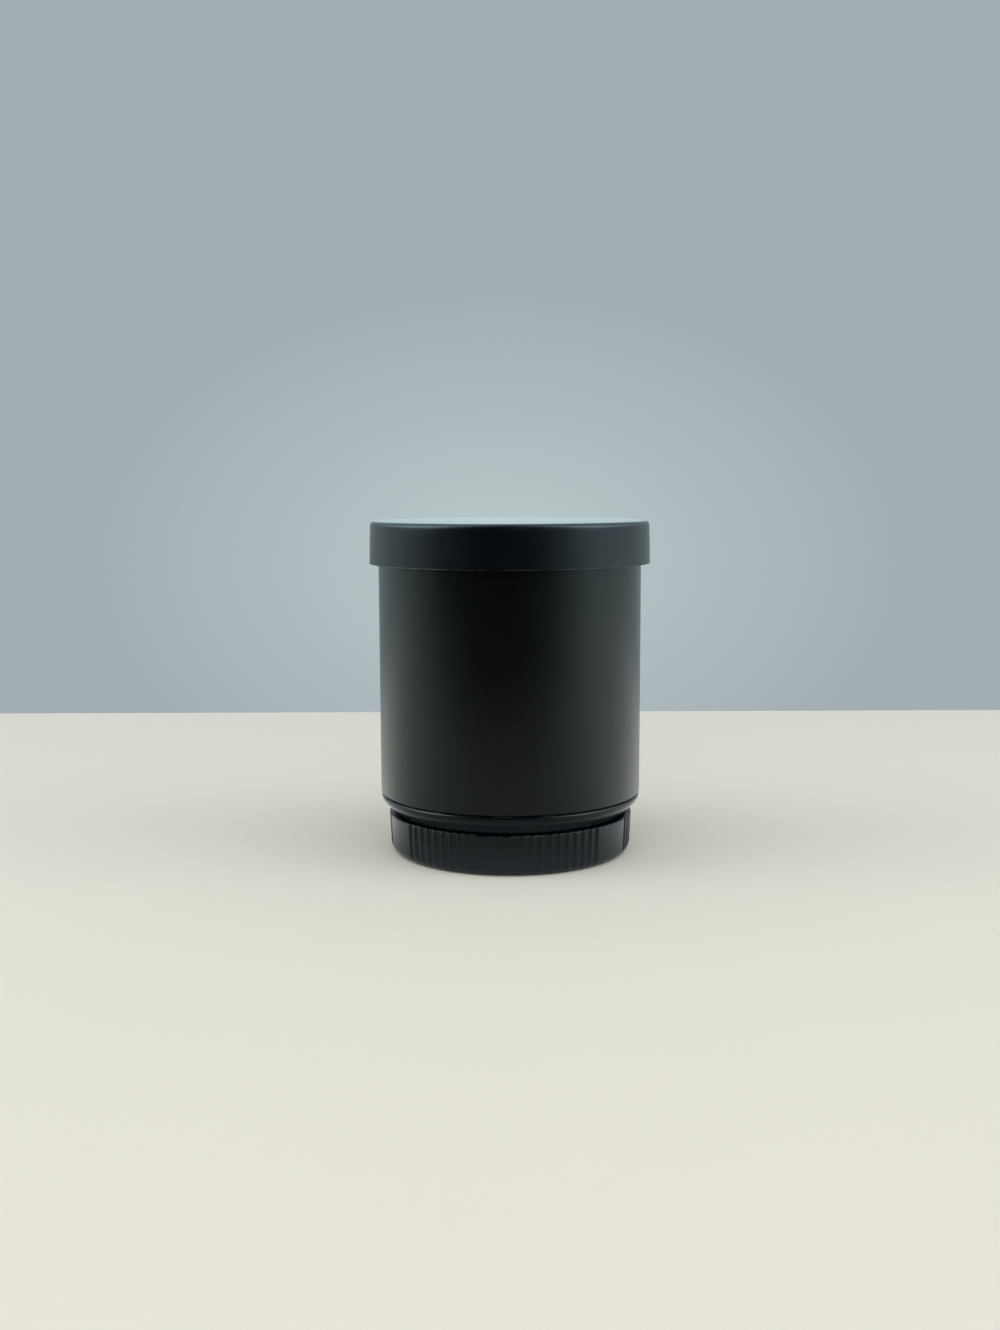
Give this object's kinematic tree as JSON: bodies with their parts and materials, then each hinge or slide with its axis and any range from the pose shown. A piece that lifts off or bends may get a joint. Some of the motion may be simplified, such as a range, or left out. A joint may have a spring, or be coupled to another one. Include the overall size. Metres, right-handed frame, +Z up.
{
  "type": "camera teleconverter",
  "caption": "Black tubular screw-mount camera teleconverter standing on its ribbed screw-on rear cap, with a smooth push-on front cap over the lens end.",
  "frame": {"origin": "centre of the rear cap's foot, on the surface that the converter stands on", "axes": "+Z up along the optical axis towards the lens side; the picture's camera looks along +Y"},
  "size_m": [0.0546, 0.0546, 0.0648],
  "materials": {
    "satin_anodised": "satin black on turned aluminium",
    "gloss_anodised": "semi-gloss black on turned aluminium",
    "cell_black": "satin black anodised aluminium",
    "matt_black": "matt anti-glare black",
    "cap_plastic": "satin moulded black plastic",
    "coated_glass": "polished, coated optical glass",
    "screw_steel": "blackened steel",
    "shim_brass": "plain sheet brass"
  },
  "bodies": {
    "rear_cap": {"rear_cap": "cap_plastic"},
    "converter": {"rear_mount": "gloss_anodised", "rear_baffle": "matt_black", "barrel": "satin_anodised", "lens_cell": "cell_black", "cell_shim": "shim_brass", "cell_lock_ring": "cell_black", "front_retaining_ring": "matt_black", "front_element": "coated_glass", "lens_spacer": "cell_black", "light_stop": "matt_black", "pair_front_element": "coated_glass", "pair_rear_element": "coated_glass", "rear_element": "coated_glass", "rear_retaining_ring": "matt_black", "front_mount_ring": "gloss_anodised", "front_ring_screws": "screw_steel"},
    "front_cap": {"front_cap": "cap_plastic"}
  },
  "joints": [
    {"name": "rear_cap_unscrew", "type": "slide", "parent": "rear_cap", "child": "converter", "axis": [0, 0, 1], "range_m": [0, 0.03]},
    {"name": "front_cap_pull", "type": "slide", "parent": "converter", "child": "front_cap", "axis": [0, 0, 1], "range_m": [0, 0.05]}
  ]
}
